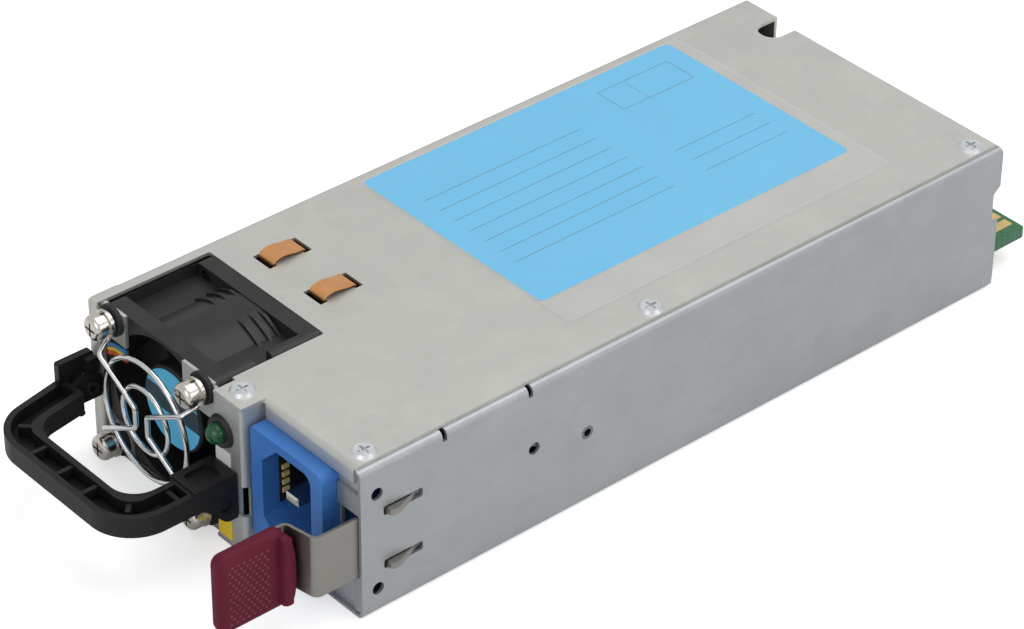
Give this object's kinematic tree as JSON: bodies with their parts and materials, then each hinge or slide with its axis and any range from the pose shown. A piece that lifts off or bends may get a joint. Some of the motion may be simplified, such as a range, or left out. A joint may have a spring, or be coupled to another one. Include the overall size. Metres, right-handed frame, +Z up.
{
  "type": "hot swap server power supply",
  "caption": "Slim sheet-metal power module with a fan and wire guard, a U-shaped pull handle, a recessed mains inlet, a sprung side latch with a grip, and a card-edge connector at the rear.",
  "frame": {"origin": "centre of the case's underside", "axes": "+X to the right seen from the inlet end, +Y from the inlet end to the connector end, +Z up"},
  "size_m": [0.0877, 0.2397, 0.0405],
  "materials": {
    "wall_steel": "zinc-plated sheet, satin",
    "zinc_steel": "zinc-plated sheet, satin",
    "nickel": "bright",
    "copper_clip": "satin",
    "fan_plastic": "semi-gloss",
    "steel_shaft": "ground",
    "bearing_bronze": "sintered",
    "copper_winding": "enamelled",
    "hub_paper": "semi-matt",
    "guard_wire": "bright",
    "black_rubber": "matt",
    "lead_blue": "semi-gloss",
    "lead_yellow": "semi-gloss",
    "lead_red": "semi-gloss",
    "handle_plastic": "fine grained",
    "led_green": "gloss",
    "black_plastic": "satin",
    "blue_plastic": "satin",
    "gold_contact": "plated",
    "board_green": "solder mask",
    "spring_steel": "satin",
    "maroon_plastic": "satin",
    "insulator": "matt film",
    "capacitor_sleeve": "semi-gloss",
    "ferrite": "matt",
    "heatsink_metal": "extruded",
    "label_blue": "semi-gloss print",
    "clear_film": "clear",
    "paper_white": "semi-matt",
    "yellow_paper": "semi-gloss"
  },
  "bodies": {
    "case": {"chassis_tray": "wall_steel", "top_cover": "zinc_steel", "front_panel": "zinc_steel", "rear_panel": "zinc_steel", "cover_screws": "nickel", "fan_housing": "fan_plastic", "fan_bearings": "bearing_bronze", "fan_stator": "copper_winding", "fan_guard": "guard_wire", "fan_screws": "nickel", "fan_washers": "nickel", "fan_grommets": "black_rubber", "fan_lead_blue": "lead_blue", "fan_lead_yellow": "lead_yellow", "fan_lead_red": "lead_red", "handle_loop": "handle_plastic", "handle_pins": "nickel", "status_led": "led_green", "led_holder": "black_plastic", "inlet_bezel": "blue_plastic", "inlet_core": "black_plastic", "inlet_contacts": "gold_contact", "inlet_pins": "nickel", "inlet_board": "board_green", "main_board": "board_green", "edge_contacts": "gold_contact", "board_standoffs": "zinc_steel", "board_screws": "nickel", "insulator_sheet": "insulator", "bulk_capacitor": "capacitor_sleeve", "transformer_core": "ferrite", "transformer_coil": "copper_winding", "filter_chokes": "copper_winding", "heatsink_primary": "heatsink_metal", "heatsink_secondary": "heatsink_metal", "output_capacitors": "capacitor_sleeve", "rating_label": "label_blue", "label_film": "clear_film", "panel_sticker": "paper_white", "yellow_sticker": "yellow_paper"},
    "fan_rotor_body": {"fan_rotor": "fan_plastic", "fan_shaft": "steel_shaft", "hub_label": "hub_paper"},
    "latch_body": {"latch_leaf": "spring_steel", "latch_grip": "maroon_plastic", "latch_rivet": "nickel"},
    "clip_left_body": {"ground_clip_left": "copper_clip"},
    "clip_right_body": {"ground_clip_right": "copper_clip"}
  },
  "joints": [
    {"name": "fan_spin", "type": "hinge", "parent": "case", "child": "fan_rotor_body", "pos_m": [-0.0194, -0.0845, 0.0199], "axis": [0, 1, 0], "continuous": true},
    {"name": "latch_flex", "type": "hinge", "parent": "case", "child": "latch_body", "pos_m": [0.04175, -0.0285, 0.0182], "axis": [0, 0, -1], "range_deg": [0, 2.4], "stiffness_Nm_per_rad": 8},
    {"name": "clip_left_press", "type": "slide", "parent": "case", "child": "clip_left_body", "axis": [0, 0, -1], "range_m": [0, 0.0004], "stiffness_N_per_m": 2000},
    {"name": "clip_right_press", "type": "slide", "parent": "case", "child": "clip_right_body", "axis": [0, 0, -1], "range_m": [0, 0.0004], "stiffness_N_per_m": 2000}
  ]
}
